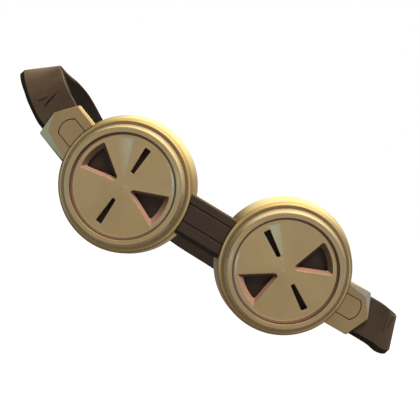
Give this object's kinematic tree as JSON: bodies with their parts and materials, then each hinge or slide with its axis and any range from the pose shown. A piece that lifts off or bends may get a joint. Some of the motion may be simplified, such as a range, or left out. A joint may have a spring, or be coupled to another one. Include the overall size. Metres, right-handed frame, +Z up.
{
  "type": "costume goggles",
  "caption": "Round-cup costume goggles with turning slotted metal faces, dark lenses, leather bridge, riveted side plates and a buckle-free leather head strap.",
  "frame": {"origin": "midway between the two cups, on the plane where the eye pads rest on the wearer's face", "axes": "+X towards the right of the picture seen from the front, +Y from the faces back into the wearer's head, +Z up"},
  "size_m": [0.1943, 0.1486, 0.0616],
  "materials": {
    "aged_brass": "satin, worn and darkened in the corners",
    "dark_brass": "satin, dark",
    "strap_leather": "smooth, creased at the folds",
    "pad_leather": "soft, padded",
    "gasket_rubber": "matte",
    "dark_lens": "polished, tinted dark brown"
  },
  "bodies": {
    "goggles": {"left_barrel": "aged_brass", "right_barrel": "aged_brass", "left_bezel": "aged_brass", "right_bezel": "aged_brass", "left_snap_ring": "dark_brass", "right_snap_ring": "dark_brass", "left_lens": "dark_lens", "right_lens": "dark_lens", "left_gasket": "gasket_rubber", "right_gasket": "gasket_rubber", "left_pad": "pad_leather", "right_pad": "pad_leather", "left_pad_ring": "dark_brass", "right_pad_ring": "dark_brass", "left_side_plate": "aged_brass", "right_side_plate": "aged_brass", "left_backing_plate": "dark_brass", "right_backing_plate": "dark_brass", "plate_rivets": "dark_brass", "strap_rivets": "dark_brass", "bridge_rivets": "dark_brass", "bridge_strap": "strap_leather", "strap_left": "strap_leather", "strap_right": "strap_leather", "strap_stud": "dark_brass"},
    "left_face_body": {"left_face": "aged_brass"},
    "right_face_body": {"right_face": "aged_brass"},
    "keeper_body": {"strap_keeper": "dark_brass"}
  },
  "joints": [
    {"name": "left_face_turn", "type": "hinge", "parent": "goggles", "child": "left_face_body", "pos_m": [-0.03735, -0.024, 0], "axis": [-0.0785, -0.9969, 0], "continuous": true},
    {"name": "right_face_turn", "type": "hinge", "parent": "goggles", "child": "right_face_body", "pos_m": [0.03735, -0.024, 0], "axis": [0.0785, -0.9969, 0], "continuous": true},
    {"name": "keeper_slide", "type": "slide", "parent": "goggles", "child": "keeper_body", "axis": [0.8353, -0.509, 0.208], "range_m": [-0.007, 0.007]}
  ]
}
